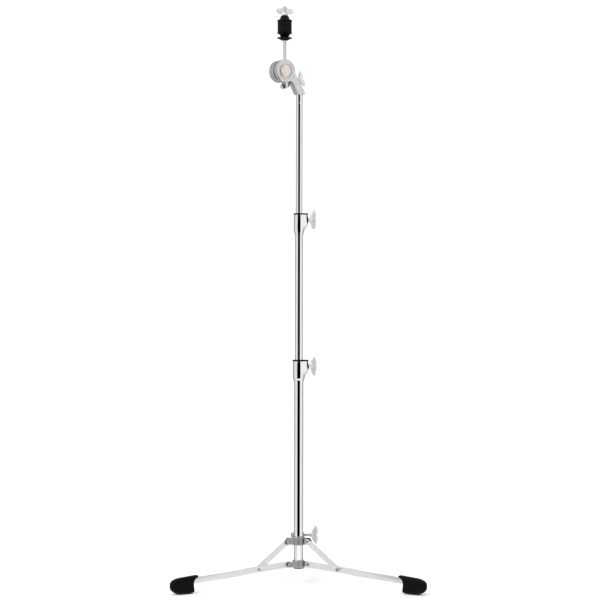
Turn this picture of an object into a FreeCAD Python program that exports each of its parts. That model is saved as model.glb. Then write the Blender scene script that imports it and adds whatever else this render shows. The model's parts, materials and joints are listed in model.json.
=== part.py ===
import FreeCAD, Part
import math
import os
import re
import Sketcher

# Straight cymbal stand with a flat tripod base, in millimetres. Z is up and the
# soles of the rubber feet stand on Z = 0. Leg 1 points along +Y. The origin lies
# under the middle of the tripod's outline, so the column stands off it in Y.

V = FreeCAD.Vector
X, Y, Z = V(1, 0, 0), V(0, 1, 0), V(0, 0, 1)

SIZES = {
    # telescopic column
    "top_tube_d": 15.9, "tube_wall": 1.2, "tube_play": 0.75,
    "low_tube_top": 503.5, "mid_tube_long": 430, "top_tube_long": 400,
    "mid_shown": 351.5, "top_shown": 287, "socket_deep": 15, "pin_r": 1.5, "pin_proud": 0.4,
    "pin_below": 20,
    "slip_gap": 0.05, "face_gap": 0.1, "end_bush_long": 16, "plug_long": 12, "plug_cap": 2,
    # pipe joints, each a casting with a boss for its wing bolt
    "joint_tall": 49, "joint_taper": 12, "joint_wall": 3.15, "boss_tall": 24,
    "boss_off": 4.4, "boss_r": 7, "boss_fade": 12, "bolt_below_top": 12.5,
    "flange_thick": 3, "flange_lip": 0.8, "washer_thick": 2, "washer_r": 7.4,
    # wing bolts and wing nuts
    "bolt_r": 3, "knob_r": 6.6, "knob_tall": 9, "wing_span": 47, "wing_rise": 16.5, "wing_lift": 2.5,
    "wing_sweep": 0.45,
    "wing_thick": 3.6,
    # hub and collar castings
    "hub_pivot_z": 49, "hub_tall": 18, "hub_wall": 3.4, "collar_wall": 4,
    "collar_tall": 20, "collar_pivot_z": 104.6, "pivot_clear": 2.7, "hub_ear_r": 6.5, "collar_ear_r": 8,
    "ear_thick": 4, "spacer_rim": 0.7, "hub_spacer": 1.5, "collar_spacer": 2, "rivet_r": 2.6,
    "rivet_head_r": 4.6,
    "rivet_head": 1.6, "clamp_clear": 0.9, "clamp_z": 116, "lug_half": 13, "lug_r": 6, "slit_wide": 1.5,
    "clamp_gap": 13.8, "clamp_nut_out": 28,
    # legs and struts
    "foot_reach": 342, "leg_wide": 14.5, "leg_thick": 3.5, "strut_wide": 12.5, "strut_thick": 3,
    "strut_side": 0.5, "brace_out": 109, "brace_z": 43, "joggle_from": 140, "joggle_long": 20,
    "joggle_drop": 1.5, "leg_short": 36,
    # rubber feet
    "boot_long": 58, "boot_tongue": 11, "boot_wide": 24, "boot_tall": 42,
    # tilter, whose pivot runs level
    "tilter_turn": 35, "pivot_side": 56, "pivot_rise": 52, "arm_thick": 17.5, "ring_r": 26.5,
    "drum_r": 17, "head_r": 27.5, "head_thick": 11, "friction_thick": 4.5, "cap_r": 16,
    "cap_deep": 2.5, "rear_cap_r": 23.3, "rear_cap_thick": 4.2, "socket_wall": 2,
    "clamp_rise": 21.3, "lug_wide": 8, "tilt_bolt_x": 14, "tilt_bolt_z": -32, "tilt_nut_out": 39.5,
    "tilt_bolt_back": 11.5, "bolt_head": 2.5, "tilt_gap": 6, "filler_r": 6.2, "tilt_nut_sweep": 0.6,
    # cymbal rod and seat
    "rod_d": 8, "rod_above": 153, "rod_behind_face": 6, "neck_r": 3.2, "neck_long": 5.6,
    "seat_above": 72, "seat_r": 18.2, "seat_thick": 7, "cup_tall": 11.5, "cup_foot_r": 7,
    "felt_r": 17, "felt_thick": 13.5, "sleeve_wall": 1.2, "top_cup_tall": 13, "dome_r": 10.2,
    "nut_neck": 4, "nut_span": 45, "nut_rise": 15, "nut_sweep": 0.12,
}

# Sizes that follow from the driving ones, as expressions of their names.
DERIVED = {
    "mid_tube_d": "top_tube_d + 2 * tube_wall + tube_play",
    "low_tube_d": "mid_tube_d + 2 * tube_wall + tube_play",
    "low_r": "low_tube_d / 2",
    "mid_r": "mid_tube_d / 2",
    "top_r": "top_tube_d / 2",
    "hub_base": "hub_pivot_z - hub_tall / 2",
    "pivot_out": "low_r + collar_wall + collar_ear_r + spacer_rim + pivot_clear",
    "clamp_out": "low_r + collar_wall + bolt_r + clamp_clear",
    "foot_r": "boot_wide / 2",
    "column_y": "(foot_reach - foot_r) / 4 - foot_reach / 2 + foot_r / 2",
    "low_joint_top": "low_tube_top + joint_tall - grip_from",
    "grip_from": "17",
    "mid_tube_top": "low_joint_top + mid_shown - joint_tall + grip_from",
    "mid_joint_top": "mid_tube_top + joint_tall - grip_from",
    "socket_z": "mid_joint_top + top_shown",
    "top_tube_top": "socket_z + socket_deep",
    "pivot_z": "socket_z + pivot_rise",
    "leg_slope": "(brace_z - hub_pivot_z) / (brace_out - pivot_out)",
    "boot_mouth": "foot_reach - boot_long",
    "hub_ear_from": "leg_thick / 2 + hub_spacer",
    "strut_from": "-leg_thick / 2 - strut_side - strut_thick",
    "collar_ear_from": "strut_from + strut_thick + collar_spacer",
    "arm_front": "-arm_thick / 2 - 0.75",
    "arm_back": "arm_thick / 2 - 0.75",
    "head_back": "arm_front - face_gap - friction_thick",
    "head_front": "head_back - head_thick",
    "rod_y": "head_front + rod_behind_face",
    "rod_r": "rod_d / 2",
    "cup_z": "seat_above + seat_thick",
    "felt_z": "cup_z + cup_tall",
    "top_cup_z": "felt_z + 2 * felt_thick",
    "nut_z": "top_cup_z + top_cup_tall + face_gap",
    "pivot_x": "-pivot_side * cos(tilter_turn)",
    "pivot_y": "column_y - pivot_side * sin(tilter_turn)",
}

LEG_TURNS = {1: 90, 2: 210, 3: 330}

doc = FreeCAD.newDocument("cymbal_stand")
sheet = doc.addObject("Spreadsheet::Sheet", "Sizes")
for row, (alias, number) in enumerate(SIZES.items(), start=1):
    sheet.set(f"A{row}", str(number))
    sheet.setAlias(f"A{row}", alias)
doc.recompute()

subparts = []


def formula(text):
    """The text with each size name replaced by its sheet cell, and each derived name by its formula."""
    def swap(match):
        word = match.group(0)
        if word in SIZES:
            return "Sizes." + word
        if word in DERIVED:
            return "(" + formula(DERIVED[word]) + ")"
        return word
    return re.sub(r"[a-z][a-z_]*", swap, str(text))


def value(text):
    """The number that a formula of size names stands for."""
    result = sheet.evalExpression(formula(text))
    return float(getattr(result, "Value", result))


def bind(thing, **sizes):
    """Binds properties of an object to formulas of the sheet's sizes."""
    for name, text in sizes.items():
        thing.setExpression(name, formula(text))
    return thing


def place(thing, x="0", y="0", z="0", turn=None):
    """Puts an object at a bound position with a fixed rotation."""
    thing.Placement = FreeCAD.Placement(V(), turn or FreeCAD.Rotation())
    for axis, text in (("x", x), ("y", y), ("z", z)):
        thing.setExpression(".Placement.Base." + axis, formula(text))
    return thing


def cylinder(radius, height, **where):
    return place(bind(doc.addObject("Part::Cylinder", "cylinder"), Radius=radius, Height=height), **where)


def box(long, wide, tall, **where):
    """A box whose X, Y and Z sizes are bound, from its lowest corner."""
    block = bind(doc.addObject("Part::Box", "box"), Length=long, Width=wide, Height=tall)
    return place(block, **where)


def fused(*pieces):
    join = doc.addObject("Part::MultiFuse", "join")
    join.Shapes = list(pieces)
    return join


def grouped(pieces):
    group = doc.addObject("Part::Compound", "group")
    group.Links = list(pieces)
    return group


def cut(base, *tools):
    """The base less its tools."""
    hole = doc.addObject("Part::Cut", "cut")
    hole.Base = base
    hole.Tool = tools[0] if len(tools) == 1 else fused(*tools)
    return hole


def keep(label, thing):
    """Names an object as a sub-part of the stand."""
    thing.Label = label
    subparts.append(thing)
    return thing


def plane(body, role):
    return next(item for item in body.Origin.OriginFeatures if item.Role == role)


def new_sketch(body, role, lift="0"):
    sketch = body.newObject("Sketcher::SketchObject", "outline")
    sketch.AttachmentSupport = [(plane(body, role), "")]
    sketch.MapMode = "FlatFace"
    sketch.setExpression(".AttachmentOffset.Base.z", formula(lift))
    return sketch


def distance(sketch, kind, element, point, text):
    """Holds a sketch point at a bound distance from the sketch's origin."""
    index = sketch.addConstraint(Sketcher.Constraint(kind, -1, 1, element, point, value(text)))
    sketch.setExpression(f"Constraints[{index}]", formula(text))


def outline(body, role, points, lift="0"):
    """A closed outline of straight lines through bound points."""
    sketch = new_sketch(body, role, lift)
    corners = [V(value(x), value(y), 0) for x, y in points]
    count = len(corners)
    for i in range(count):
        sketch.addGeometry(Part.LineSegment(corners[i], corners[(i + 1) % count]), False)
    for i in range(count):
        sketch.addConstraint(Sketcher.Constraint("Coincident", i, 2, (i + 1) % count, 1))
    for i, (x, y) in enumerate(points):
        distance(sketch, "DistanceX", i, 1, x)
        distance(sketch, "DistanceY", i, 1, y)
    return sketch


def turned(points):
    """A body turned about Z from (radius, height) points."""
    body = doc.addObject("PartDesign::Body", "turned")
    sketch = outline(body, "XZ_Plane", points)
    turning = body.newObject("PartDesign::Revolution", "turning")
    turning.Profile = sketch
    turning.ReferenceAxis = (sketch, ["V_Axis"])
    turning.Angle = 360
    return body


def plate(points, thick, role="XZ_Plane", middle="0", corner=None):
    """A flat plate padded to both sides of a plane, its corners rounded."""
    body = doc.addObject("PartDesign::Body", "plate")
    pad = body.newObject("PartDesign::Pad", "pad")
    pad.Profile = outline(body, role, points, middle)
    pad.SideType = "Symmetric"
    bind(pad, Length=thick)
    if corner is None:
        return body
    doc.recompute()
    normal = Y if role == "XZ_Plane" else Z
    edges = pad.Shape.Edges
    along = [f"Edge{i + 1}" for i, edge in enumerate(edges)
             if edge.tangentAt(edge.FirstParameter).cross(normal).Length < 1e-6]
    rounding = body.newObject("PartDesign::Fillet", "rounding")
    rounding.Base = (pad, along)
    bind(rounding, Radius=corner)
    return body


def teardrop(body, lift, big_r, out, small_r):
    """A sketch of two arcs, about the column and about the boss, joined by tangent lines."""
    sketch = new_sketch(body, "XY_Plane", lift)
    big, reach, small = value(big_r), value(out), value(small_r)
    lean = math.acos((big - small) / reach)
    centre = V(reach, 0, 0)
    meet = V(math.cos(lean), math.sin(lean), 0)
    low_meet = V(meet.x, -meet.y, 0)
    sketch.addGeometry(Part.ArcOfCircle(Part.Circle(V(), Z, big), lean, 2 * math.pi - lean), False)
    sketch.addGeometry(Part.LineSegment(low_meet * big, centre + low_meet * small), False)
    sketch.addGeometry(Part.ArcOfCircle(Part.Circle(centre, Z, small), -lean, lean), False)
    sketch.addGeometry(Part.LineSegment(centre + meet * small, meet * big), False)
    sketch.addConstraint(Sketcher.Constraint("Coincident", 0, 3, -1, 1))
    distance(sketch, "DistanceX", 2, 3, out)
    distance(sketch, "DistanceY", 2, 3, "0")
    for element, text in ((0, big_r), (2, small_r)):
        index = sketch.addConstraint(Sketcher.Constraint("Radius", element, value(text)))
        sketch.setExpression(f"Constraints[{index}]", formula(text))
    for element in range(4):
        sketch.addConstraint(Sketcher.Constraint("Tangent", element, 2, (element + 1) % 4, 1))
    return sketch


def on_column(thing, turn=0):
    """Stands a finished sub-part on the column's axis, turned about it."""
    return place(thing, y="column_y", turn=FreeCAD.Rotation(Z, turn))


def tube(label, outer_r, long, base, *holes):
    bore = cylinder(f"({outer_r}) - tube_wall", f"{long} + 2", z=f"({base}) - 1")
    return keep(label, on_column(cut(cylinder(outer_r, long, z=base), bore, *holes)))


def socket_pin(radius):
    """The short pin that holds the plug in the top tube, seen as a dimple below the tilter's socket."""
    sideways = FreeCAD.Rotation(V(1, 0.2, 0), 90)
    return cylinder(radius, "top_r + pin_proud", z="socket_z - pin_below", turn=sideways)


def make_column():
    tube("lower_tube", "low_r", "low_tube_top - hub_base", "hub_base")
    tube("middle_tube", "mid_r", "mid_tube_long", "mid_tube_top - mid_tube_long")
    tube("upper_tube", "top_r", "top_tube_long", "top_tube_top - top_tube_long", socket_pin("pin_r"))
    bore = "low_r - tube_wall"
    plug = turned([("0", "hub_base - plug_cap"), ("low_r", "hub_base - plug_cap"), ("low_r", "hub_base"),
                   (bore, "hub_base"), (bore, "hub_base + plug_long"), ("0", "hub_base + plug_long")])
    keep("tube_end_plug", on_column(plug))
    make_end_bush("middle_tube_bush", "mid_r", "low_r", "mid_tube_top - mid_tube_long")
    make_end_bush("upper_tube_bush", "top_r", "mid_r", "top_tube_top - top_tube_long")


def make_end_bush(label, own_r, outer_r, foot):
    """A nylon bush in the foot of a sliding tube, whose rim runs in the tube around it."""
    inner = f"{own_r} - tube_wall"
    rim = f"{outer_r} - tube_wall - slip_gap - 0.02"
    rim_z = f"({foot}) - 4"
    points = [("0", rim_z), (rim, rim_z), (rim, foot), (inner, foot),
              (inner, f"({foot}) + end_bush_long"), ("0", f"({foot}) + end_bush_long")]
    keep(label, on_column(turned(points)))


def make_pipe_joint(name, lower_r, upper_r, top):
    """A clamp casting on the end of one tube, which grips the next tube through a nylon sleeve."""
    outer = f"{lower_r} + joint_wall"
    out = f"boss_off + {lower_r}"
    face = f"({out}) + boss_r"
    foot = f"({top}) - joint_tall"
    waist = f"({top}) - boss_tall - boss_fade"
    casting = doc.addObject("PartDesign::Body", "casting")
    loft = casting.newObject("PartDesign::AdditiveLoft", "loft")
    loft.Profile = teardrop(casting, top, outer, out, "boss_r")
    loft.Sections = [teardrop(casting, f"({top}) - boss_tall", outer, out, "boss_r"),
                     teardrop(casting, waist, outer, f"{outer} - boss_r + 1", "boss_r")]
    loft.Ruled = True
    skirt = turned([("0", foot), (f"{lower_r} + 0.6", foot), (outer, f"({foot}) + joint_taper"),
                    (outer, waist), ("0", waist)])
    bolt_z = f"({top}) - bolt_below_top"
    bore = cylinder(lower_r, "joint_tall + 2", z=f"({foot}) - 1")
    bolt_hole = cylinder("bolt_r + slip_gap", f"({face}) + 1", z=bolt_z, turn=FreeCAD.Rotation(Y, 90))
    flat = box("10", "40", "boss_tall * 2", x=f"({face}) - 1", y="-20", z=f"({top}) - boss_tall * 1.5")
    keep(f"{name}_joint", on_column(cut(fused(casting, skirt), bore, bolt_hole, flat)))

    flange = doc.addObject("PartDesign::Body", "flange")
    pad = flange.newObject("PartDesign::Pad", "pad")
    pad.Profile = teardrop(flange, top, f"({outer}) + flange_lip", out, "boss_r + flange_lip")
    bind(pad, Length="flange_thick")
    rim_bore = cylinder(f"{upper_r} + slip_gap * 2", "flange_thick + 2", z=f"({top}) - 1")
    keep(f"{name}_joint_flange", on_column(cut(flange, rim_bore)))

    seat = f"({top}) - joint_tall + grip_from"
    sleeve = turned([(f"{upper_r} + slip_gap", seat), (f"{lower_r} - slip_gap", seat),
                     (f"{lower_r} - slip_gap", f"{top} - face_gap"),
                     (f"{upper_r} + slip_gap", f"{top} - face_gap")])
    keep(f"{name}_joint_sleeve", on_column(sleeve))

    boss_face = f"({face}) - 1"
    washer = turned([("bolt_r + slip_gap", "0"), ("washer_r", "0"), ("washer_r", "washer_thick"),
                     ("bolt_r + slip_gap", "washer_thick")])
    side = FreeCAD.Rotation(Y, 90)
    keep(f"{name}_joint_washer", place(washer, x=boss_face, y="column_y", z=bolt_z, turn=side))
    hub = f"({boss_face}) + washer_thick + face_gap"
    screw = wing_screw(f"{lower_r} + 0.4", hub)
    keep(f"{name}_wing_bolt", place(screw, y="column_y", z=bolt_z, turn=side))


def wing_pair(base, span, rise, sweep):
    """The two wings of a nut as one plate, whose inner edge sweeps out by a share of the rise."""
    half = f"({span}) / 2"
    side = [("0", base), (f"{half} * 0.6", f"({base}) + ({rise}) * {sweep} * 0.5"),
            (f"{half} * 0.9", f"({base}) + ({rise}) * {sweep} * 0.9"),
            (half, f"({base}) + ({rise}) * ({sweep} * 0.5 + 0.4)"),
            (f"{half} * 0.95", f"({base}) + ({rise}) * 0.84"),
            (f"{half} * 0.7", f"({base}) + ({rise}) * 0.94"), ("0", f"({base}) + {rise}")]
    other = [(f"-({x})", z) for x, z in side[-2:0:-1]]
    return plate(side + other, "wing_thick")


def wing_screw(tip, hub):
    """A wing bolt along its own Z axis: shank, knob and wings."""
    knob = turned([("0", tip), ("bolt_r", tip), ("bolt_r", hub), ("knob_r * 0.85", hub),
                   ("knob_r", f"({hub}) + 2"), ("knob_r * 0.8", f"({hub}) + knob_tall"),
                   ("0", f"({hub}) + knob_tall + 1.5")])
    return fused(knob, wing_pair(f"({hub}) + wing_lift", "wing_span", "wing_rise", "wing_sweep"))


def wing_nut(bore_r, neck, span, rise, sweep, knob_r, knob_tall):
    """A wing nut along its own Z axis from 0, open right through, its wings above a neck."""
    knob = turned([("0", "0"), (f"{knob_r} * 0.85", "0"), (knob_r, "2"),
                   (f"{knob_r} * 0.85", knob_tall), ("0", knob_tall)])
    solid = fused(knob, wing_pair(neck, span, rise, sweep))
    return cut(solid, cylinder(bore_r, f"{rise} + 20", z="-1"))


def ear(radius, height, side):
    """A lug that reaches from a ring to a leg's or strut's pivot, in the leg's own frame."""
    low, high = f"{height} - {radius}", f"{height} + {radius}"
    out = f"pivot_out + {radius}"
    lug = plate([("low_r + 1", low), (out, low), (out, high), ("low_r + 1", high)],
                "ear_thick", middle=f"-({side}) - ear_thick / 2")
    blank = cylinder(radius, "ear_thick", x="pivot_out", y=f"({side}) + ear_thick", z=height,
                     turn=FreeCAD.Rotation(X, 90))
    corner = box(radius, "ear_thick + 2", f"2 * {radius} + 2", x="pivot_out", y=f"({side}) - 1",
                 z=f"{low} - 1")
    return fused(cut(lug, corner), blank)


def three(make):
    """One copy of a piece for each leg, turned to it."""
    copies = []
    for turn in LEG_TURNS.values():
        piece = grouped([make()])
        piece.Placement = FreeCAD.Placement(V(), FreeCAD.Rotation(Z, turn))
        copies.append(piece)
    return copies


def cross_pin(radius, start, end, out, height):
    """A pin across a leg, between two places on the leg's sideways axis."""
    return cylinder(radius, f"({end}) - ({start})", x=out, y=end, z=height, turn=FreeCAD.Rotation(X, 90))


def rivet(start, end, height, low_head=True):
    """A rivet across the parts it joins, with a head at each end."""
    shank = cross_pin("rivet_r", start, end, "pivot_out", height)
    near = cross_pin("rivet_head_r", f"({start}) - rivet_head", start, "pivot_out", height)
    far = cross_pin("rivet_head_r", end, f"({end}) + rivet_head", "pivot_out", height)
    return fused(shank, near, far)


def spacer(radius, side, thick, height):
    return cut(cross_pin(f"{radius} + spacer_rim", side, f"({side}) + {thick}", "pivot_out", height),
               cross_pin("rivet_r", f"({side}) - 1", f"({side}) + {thick} + 1", "pivot_out", height))


def make_hub():
    ring_r = "low_r + hub_wall"
    top = "hub_pivot_z + hub_tall / 2"
    ring = turned([("low_r", "hub_base"), (ring_r, "hub_base"), (ring_r, f"{top} - 2"),
                   ("low_r + hub_wall - 0.9", top), ("low_r", top)])
    pins = three(lambda: cross_pin("rivet_r", "hub_ear_from - 1", "hub_ear_from + ear_thick + 1",
                                   "pivot_out", "hub_pivot_z"))
    ears = three(lambda: ear("hub_ear_r", "hub_pivot_z", "hub_ear_from"))
    bore = cylinder("low_r", "hub_tall * 2", z="hub_pivot_z - hub_tall")
    keep("leg_hub", on_column(cut(fused(ring, *ears), bore, *pins)))
    near, far = "-leg_thick / 2 - face_gap", "hub_ear_from + ear_thick"
    keep("hub_rivets", on_column(grouped(three(lambda: rivet(near, far, "hub_pivot_z")))))
    washers = three(lambda: spacer("hub_ear_r", "leg_thick / 2 + face_gap", "hub_spacer - face_gap",
                                   "hub_pivot_z"))
    keep("hub_spacers", on_column(grouped(washers)))


def make_collar():
    """The casting that slides on the lower tube, split and clamped at the side of leg 1."""
    ring_r = "low_r + collar_wall"
    foot = "collar_pivot_z - collar_tall / 2"
    top = "collar_pivot_z + collar_tall / 2"
    ring = turned([("0", foot), (ring_r, foot), (ring_r, f"{top} - 1.5"), (f"{ring_r} - 1", top), ("0", top)])
    ears = three(lambda: ear("collar_ear_r", "collar_pivot_z", "collar_ear_from"))
    block = box("2 * lug_half", "clamp_out + lug_r - low_r", "2 * lug_r", x="-lug_half",
                y="low_r", z="clamp_z - lug_r")
    gap = box("clamp_gap", "clamp_out + lug_r", "3 * lug_r", x="-clamp_gap / 2", y="low_r + collar_wall",
              z="clamp_z - lug_r * 1.5")
    across = FreeCAD.Rotation(Y, 90)
    bolt_hole = cylinder("bolt_r", "lug_half * 4", x="-lug_half * 2", y="clamp_out", z="clamp_z", turn=across)
    bore = cylinder("low_r + slip_gap", "collar_tall * 3", z=f"{foot} - collar_tall")
    slit = box("slit_wide", "clamp_out + lug_r", "collar_tall * 3", x="slit_wide / 2",
               z=f"{foot} - collar_tall")
    pins = three(lambda: cross_pin("rivet_r", "collar_ear_from - 1", "collar_ear_from + ear_thick + 1",
                                   "pivot_out", "collar_pivot_z"))
    keep("collar", on_column(cut(fused(ring, cut(block, gap), *ears), bore, bolt_hole, slit, *pins)))
    near, far = "strut_from - face_gap", "collar_ear_from + ear_thick"
    keep("collar_rivets", on_column(grouped(three(lambda: rivet(near, far, "collar_pivot_z")))))
    washers = three(lambda: spacer("collar_ear_r", "strut_from + strut_thick + face_gap",
                                   "collar_spacer - face_gap", "collar_pivot_z"))
    keep("collar_spacers", on_column(grouped(washers)))
    head_from = "-lug_half - 6"
    end = "clamp_nut_out + knob_tall + 6"
    bolt = turned([("0", head_from), ("bolt_r + 2.4", head_from), ("bolt_r + 2.4", "-lug_half"),
                   ("bolt_r", "-lug_half"), ("bolt_r", end), ("0", end)])
    keep("collar_bolt", place(bolt, y="column_y + clamp_out", z="clamp_z", turn=across))
    nut = wing_nut("bolt_r + slip_gap", "wing_lift", "wing_span - 3", "wing_rise", "wing_sweep", "knob_r",
                   "knob_tall")
    keep("collar_wing_nut", place(nut, x="clamp_nut_out", y="column_y + clamp_out", z="clamp_z", turn=across))


def leg_line(out):
    """Height of the leg's centre line at a distance from the column, before the joggle."""
    return f"hub_pivot_z + leg_slope * (({out}) - pivot_out)"


def leg_blank(wide, thick):
    """The flat bar of a leg: straight, a small joggle down, straight again into the foot."""
    bend_a = "joggle_from"
    bend_b = "joggle_from + joggle_long"
    tip = "foot_reach - leg_short"
    stations = [("pivot_out - leg_wide / 2", "0"), (bend_a, "0"), (bend_b, "joggle_drop"),
                (tip, "joggle_drop")]
    line = [(out, f"{leg_line(out)} - {drop}") for out, drop in stations]
    over = [(out, f"{height} + ({wide}) / 2") for out, height in line]
    under = [(out, f"{height} - ({wide}) / 2") for out, height in line]
    return plate(over + under[::-1], thick, corner=f"({wide}) * 0.48")


def make_leg(number, turn):
    pivot_hole = cross_pin("rivet_r + slip_gap", "-leg_thick", "leg_thick", "pivot_out", "hub_pivot_z")
    brace_hole = cross_pin("rivet_r", "-leg_thick", "leg_thick", "brace_out", "brace_z")
    keep(f"leg_{number}", on_column(cut(leg_blank("leg_wide", "leg_thick"), pivot_hole, brace_hole), turn))
    head = cross_pin("rivet_head_r", "leg_thick / 2", "leg_thick / 2 + rivet_head", "brace_out", "brace_z")
    shank = cross_pin("rivet_r", "-leg_thick / 2", "leg_thick / 2", "brace_out", "brace_z")
    keep(f"leg_{number}_rivet", on_column(fused(shank, head), turn))
    keep(f"foot_{number}", on_column(make_foot(), turn))


def make_foot():
    """A rubber boot: its side outline and its plan outline meet, and the leg fills its socket."""
    mouth, tip = "boot_mouth", "foot_reach"
    side = plate([(mouth, "3"), (f"{mouth} + 8", "0.6"), (f"{mouth} + 16", "0"), (f"{mouth} + 34", "0"),
                  (f"{tip} - 10", "3"), (tip, "12"), (tip, "21"), (f"{tip} - 9", "boot_tall - 10"),
                  (f"{tip} - 40", "boot_tall - 4"), (f"{mouth} - boot_tongue", "boot_tall"),
                  (f"{mouth} - boot_tongue", "boot_tall - 3"), (mouth, "boot_tall - 6")], "boot_wide")
    tip_post = cylinder("foot_r", "2 * boot_tall", x=f"{tip} - foot_r", z="-boot_tall / 2")
    run = box(f"boot_long + boot_tongue - foot_r", "boot_wide", "2 * boot_tall",
              x=f"{mouth} - boot_tongue", y="-foot_r", z="-boot_tall / 2")
    boot = doc.addObject("Part::Common", "boot")
    boot.Base = side
    boot.Tool = fused(tip_post, run)
    return cut(boot, leg_blank("leg_wide", "leg_thick"))


def make_strut(number, turn):
    drop = "collar_pivot_z - brace_z"
    run = "brace_out - pivot_out"
    long = f"sqrt(pow({drop}; 2) + pow({run}; 2))"
    half = "strut_wide / 2"
    bar = plate([(f"-{half}", f"-{half}"), (f"{long} + {half}", f"-{half}"),
                 (f"{long} + {half}", half), (f"-{half}", half)], "strut_thick",
                middle="-strut_from - strut_thick / 2", corner="strut_wide * 0.48")
    near, far = "strut_from - 1", "strut_from + strut_thick + 1"
    level = FreeCAD.Rotation(X, 90)
    pivot_hole = cylinder("rivet_r + slip_gap", f"({far}) - ({near})", y=far, turn=level)
    brace_hole = cylinder("rivet_r", f"({far}) - ({near})", x=long, y=far, turn=level)
    strut = cut(bar, pivot_hole, brace_hole)
    lean = math.degrees(math.atan2(value(drop), value(run)))
    turning = FreeCAD.Rotation(Z, turn).multiply(FreeCAD.Rotation(Y, lean))
    place(strut, x=f"pivot_out * cos({turn})", y=f"column_y + pivot_out * sin({turn})",
          z="collar_pivot_z", turn=turning)
    keep(f"strut_{number}", strut)
    pin_end = "-leg_thick / 2 - face_gap"
    shank = cross_pin("rivet_r", "strut_from", pin_end, "brace_out", "brace_z")
    head = cross_pin("rivet_head_r", "strut_from - rivet_head", "strut_from", "brace_out", "brace_z")
    keep(f"strut_{number}_rivet", on_column(fused(shank, head), turn))


def in_tilter(thing, spin=None):
    """Stands a sub-part at the tilter's pivot: X towards the column, Y along the pivot to the back."""
    turning = FreeCAD.Rotation(Z, value("tilter_turn"))
    if spin is not None:
        turning = turning.multiply(spin)
    return place(thing, x="pivot_x", y="pivot_y", z="pivot_z", turn=turning)


def along_pivot(points):
    """A piece turned about the pivot from (radius, distance forward) points."""
    return in_tilter(turned(points), FreeCAD.Rotation(X, 90))


def make_tilter_arm():
    """The socket, the leaning neck and the split ring that clamps the head's drum."""
    socket_r = "top_r + socket_wall"
    side = "pivot_side"
    neck = plate([(f"{side} - ({socket_r})", "-pivot_rise"), (f"{side} + {socket_r}", "-pivot_rise"),
                  (f"{side} + {socket_r}", "-pivot_rise + 7"), (f"{side} - ring_r + 8.7", "-3"),
                  ("ring_r * 0.7", "ring_r * 0.5"), ("0", "0"), ("ring_r * 0.6", "-ring_r * 0.7"),
                  (f"{side} - 25", "-24")], "arm_thick", middle="0.75", corner="2")
    across = FreeCAD.Rotation(X, 90)
    ring = cylinder("ring_r", "arm_thick", y="arm_back", turn=across)
    lug = box("lug_wide", "arm_thick", "18", x="tilt_bolt_x - lug_wide / 2", y="arm_front",
              z="tilt_bolt_z - 7")
    drum_bore = cylinder("drum_r + slip_gap", "arm_thick * 2", y="arm_back + arm_thick / 2", turn=across)
    slit = box("tilt_gap", "arm_thick * 2", "ring_r + 14", x="tilt_bolt_x + lug_wide / 2", y="-arm_thick",
               z="-ring_r - 14")
    bolt_hole = cylinder("bolt_r", "pivot_side * 2", x="tilt_bolt_x - tilt_bolt_back * cos(clamp_rise)",
                         z="tilt_bolt_z - tilt_bolt_back * sin(clamp_rise)",
                         turn=FreeCAD.Rotation(Y, 90 - value("clamp_rise")))
    socket = cylinder("top_r", "socket_deep + 1", x=side, z="-pivot_rise - 1")
    rib = cylinder(socket_r, "socket_deep - 3", x=side, z="-pivot_rise")
    arm = cut(fused(neck, ring, lug, rib), drum_bore, slit, bolt_hole, socket)
    keep("tilter_arm", in_tilter(arm))
    plug = cylinder("top_r - tube_wall", "plug_long", z="socket_z - pin_below - plug_long / 2")
    keep("socket_plug", on_column(fused(plug, socket_pin("pin_r"))))


def make_tilter_clamp():
    """The clamp bolt across the split of the arm, its black collar and its wing nut."""
    lean = FreeCAD.Rotation(Y, 90 - value("clamp_rise"))
    turning = FreeCAD.Rotation(Z, value("tilter_turn")).multiply(lean)
    turn = "tilter_turn"
    spot = {"x": f"pivot_x + tilt_bolt_x * cos({turn})", "y": f"pivot_y + tilt_bolt_x * sin({turn})",
            "z": "pivot_z + tilt_bolt_z"}
    end = "tilt_nut_out + knob_tall + 3"
    back, seat = "-tilt_bolt_back", "-tilt_bolt_back + bolt_head"
    bolt = turned([("0", back), ("bolt_r + 2", back), ("bolt_r + 2", seat), ("bolt_r", seat),
                   ("bolt_r", end), ("0", end)])
    keep("tilter_bolt", place(bolt, turn=turning, **spot))
    collar = turned([("bolt_r", seat), ("bolt_r + 2.6", seat), ("bolt_r + 2.6", f"{seat} + 2.4"),
                     ("bolt_r", f"{seat} + 2.4")])
    place(collar, turn=turning, **spot)
    filler = cylinder("filler_r", "tilt_gap - 2 * face_gap", x="tilt_bolt_x + lug_wide / 2 + face_gap",
                      z="tilt_bolt_z + (lug_wide / 2 + tilt_gap / 2) * tan(clamp_rise)",
                      turn=FreeCAD.Rotation(Y, 90))
    shank = cylinder("bolt_r", "pivot_side", x="tilt_bolt_x", z="tilt_bolt_z", turn=lean)
    keep("tilter_bolt_collar", grouped([collar, in_tilter(cut(filler, shank))]))
    nut = wing_nut("bolt_r + slip_gap", "wing_lift", "wing_span - 7", "wing_rise", "tilt_nut_sweep", "knob_r",
                   "knob_tall")
    spot["x"] += f" + tilt_nut_out * cos(clamp_rise) * cos({turn})"
    spot["y"] += f" + tilt_nut_out * cos(clamp_rise) * sin({turn})"
    spot["z"] += " + tilt_nut_out * sin(clamp_rise)"
    keep("tilter_wing_nut", place(nut, turn=turning, **spot))


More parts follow.
